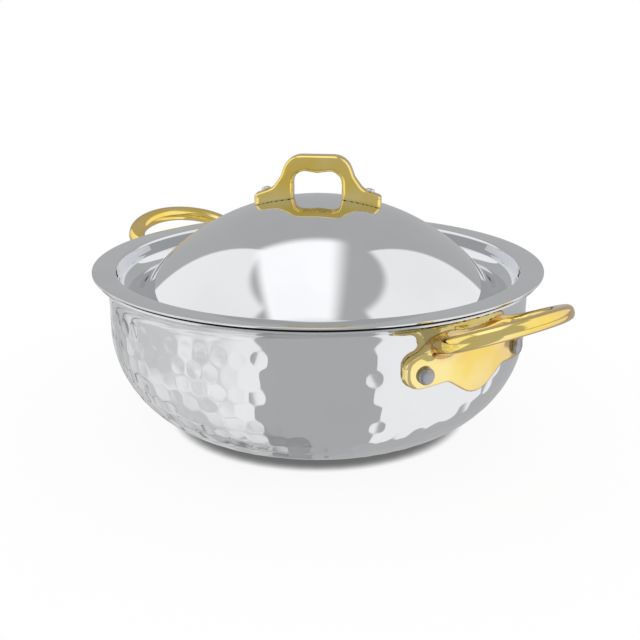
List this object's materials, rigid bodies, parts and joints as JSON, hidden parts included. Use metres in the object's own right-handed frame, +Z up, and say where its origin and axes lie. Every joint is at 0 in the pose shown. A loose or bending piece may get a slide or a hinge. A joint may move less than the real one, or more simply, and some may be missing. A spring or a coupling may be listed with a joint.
{
  "type": "lidded saute pan",
  "caption": "Round hammered saute pan with curved sides, a domed lid with an arch handle, and cast loop side handles on riveted plates.",
  "frame": {"origin": "middle of the flat base, on the table", "axes": "+Z up; the two side handles lie along X, the one nearest the camera in the picture at +X"},
  "size_m": [0.341, 0.263, 0.1568],
  "materials": {
    "hammered_steel": "hammered and mirror polished stainless steel",
    "core_aluminium": "plain rolled sheet, bonded inside the wall",
    "satin_steel": "satin stainless steel",
    "mirror_steel": "mirror polished stainless steel",
    "rivet_steel": "satin grey stainless steel",
    "brass": "polished cast brass"
  },
  "bodies": {
    "pan": {"outer_steel_ply": "hammered_steel", "outer_aluminium_ply": "core_aluminium", "middle_aluminium_ply": "core_aluminium", "inner_aluminium_ply": "core_aluminium", "inner_steel_ply": "satin_steel", "front_handle": "brass", "front_handle_left_rivet": "rivet_steel", "front_handle_right_rivet": "rivet_steel", "rear_handle": "brass", "rear_handle_left_rivet": "rivet_steel", "rear_handle_right_rivet": "rivet_steel"},
    "lid": {"lid_shell": "mirror_steel", "lid_handle": "brass", "lid_handle_first_rivet": "rivet_steel", "lid_handle_second_rivet": "rivet_steel"}
  },
  "joints": [
    {"name": "lid_lift", "type": "slide", "parent": "pan", "child": "lid", "axis": [0, 0, 1], "range_m": [0, 0.15]}
  ]
}
